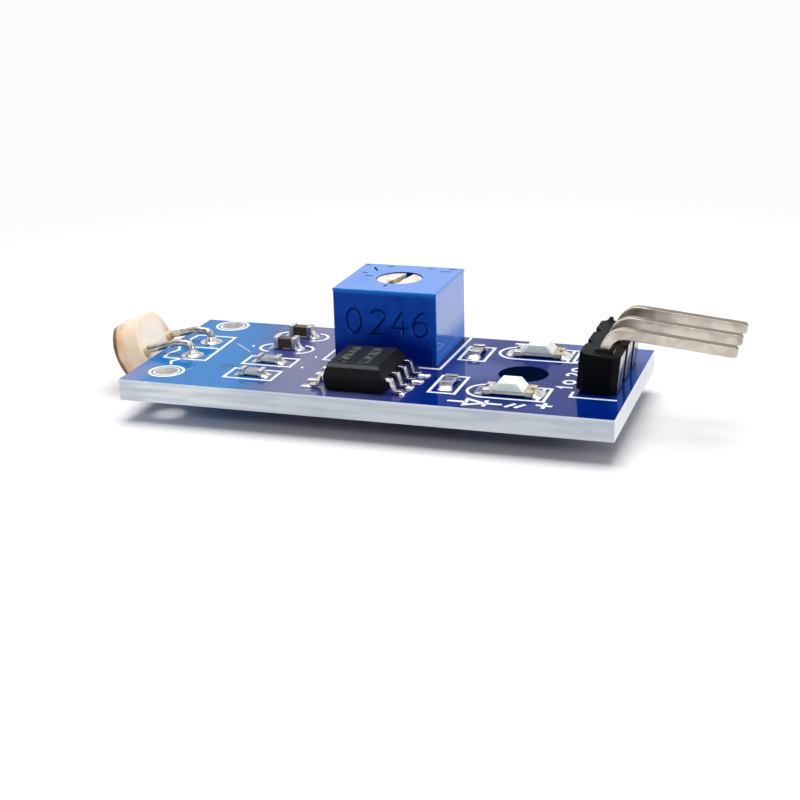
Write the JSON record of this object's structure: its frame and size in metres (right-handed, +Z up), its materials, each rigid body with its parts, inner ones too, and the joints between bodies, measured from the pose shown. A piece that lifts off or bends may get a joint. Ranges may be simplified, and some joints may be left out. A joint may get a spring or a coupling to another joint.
{
  "type": "light sensor module",
  "caption": "Small blue circuit board with a photocell on bent leads, a slotted trimmer, a comparator chip, indicator lights and a right-angle pin header.",
  "frame": {"origin": "centre of the circuit board's underside", "axes": "+X along the board towards the header pins, +Y across the board towards the trimmer's side, +Z up out of the board's top"},
  "size_m": [0.0418, 0.014, 0.0077],
  "materials": {
    "board": "glossy blue solder mask over glass-fibre laminate",
    "cell_ceramic": "cream disc under clear resin",
    "cell_track": "orange sensing layer",
    "tinned_lead": "bright tin plate",
    "solder": "shiny solder",
    "trimmer_case": "satin moulded blue plastic",
    "trimmer_rotor": "moulded cream plastic",
    "spring_metal": "spring metal",
    "white_ceramic": "fired ceramic",
    "chip_resin": "moulded black resin",
    "resistor_glaze": "dark glaze",
    "capacitor_ceramic": "brown fired ceramic",
    "light_base": "pale laminate",
    "light_lens": "milky clear resin",
    "gold_terminal": "gold plate with solder",
    "header_plastic": "moulded black nylon, cut ends",
    "pin_metal": "drawn square wire, warm silver plate"
  },
  "bodies": {
    "module": {"circuit_board": "board", "photocell_body": "cell_ceramic", "photocell_track": "cell_track", "photocell_lead_near": "tinned_lead", "photocell_lead_far": "tinned_lead", "photocell_joint_near": "solder", "photocell_joint_far": "solder", "trimmer_case": "trimmer_case", "trimmer_base": "white_ceramic", "trimmer_pin_1": "tinned_lead", "trimmer_pin_2": "tinned_lead", "trimmer_pin_3": "tinned_lead", "trimmer_joint_1": "solder", "trimmer_joint_2": "solder", "trimmer_joint_3": "solder", "comparator_body": "chip_resin", "comparator_lead_1": "tinned_lead", "comparator_lead_2": "tinned_lead", "comparator_lead_3": "tinned_lead", "comparator_lead_4": "tinned_lead", "comparator_lead_5": "tinned_lead", "comparator_lead_6": "tinned_lead", "comparator_lead_7": "tinned_lead", "comparator_lead_8": "tinned_lead", "resistor_1_body": "resistor_glaze", "resistor_1_cap_a": "tinned_lead", "resistor_1_cap_b": "tinned_lead", "resistor_2_body": "resistor_glaze", "resistor_2_cap_a": "tinned_lead", "resistor_2_cap_b": "tinned_lead", "resistor_3_body": "resistor_glaze", "resistor_3_cap_a": "tinned_lead", "resistor_3_cap_b": "tinned_lead", "resistor_4_body": "resistor_glaze", "resistor_4_cap_a": "tinned_lead", "resistor_4_cap_b": "tinned_lead", "capacitor_1_body": "capacitor_ceramic", "capacitor_1_cap_a": "tinned_lead", "capacitor_1_cap_b": "tinned_lead", "capacitor_2_body": "capacitor_ceramic", "capacitor_2_cap_a": "tinned_lead", "capacitor_2_cap_b": "tinned_lead", "light_near_base": "light_base", "light_near_lens": "light_lens", "light_near_terminal_left": "gold_terminal", "light_near_terminal_right": "gold_terminal", "light_far_base": "light_base", "light_far_lens": "light_lens", "light_far_terminal_left": "gold_terminal", "light_far_terminal_right": "gold_terminal", "header_body": "header_plastic", "header_pin_1": "pin_metal", "header_pin_2": "pin_metal", "header_pin_3": "pin_metal", "header_joint_1": "solder", "header_joint_2": "solder", "header_joint_3": "solder"},
    "rotor": {"trimmer_rotor": "trimmer_rotor", "trimmer_wiper": "spring_metal"}
  },
  "joints": [
    {"name": "trimmer_turn", "type": "hinge", "parent": "module", "child": "rotor", "pos_m": [-0.00041, 0.00354, 0.005], "axis": [0, 0, 1], "range_deg": [-130, 130]}
  ]
}
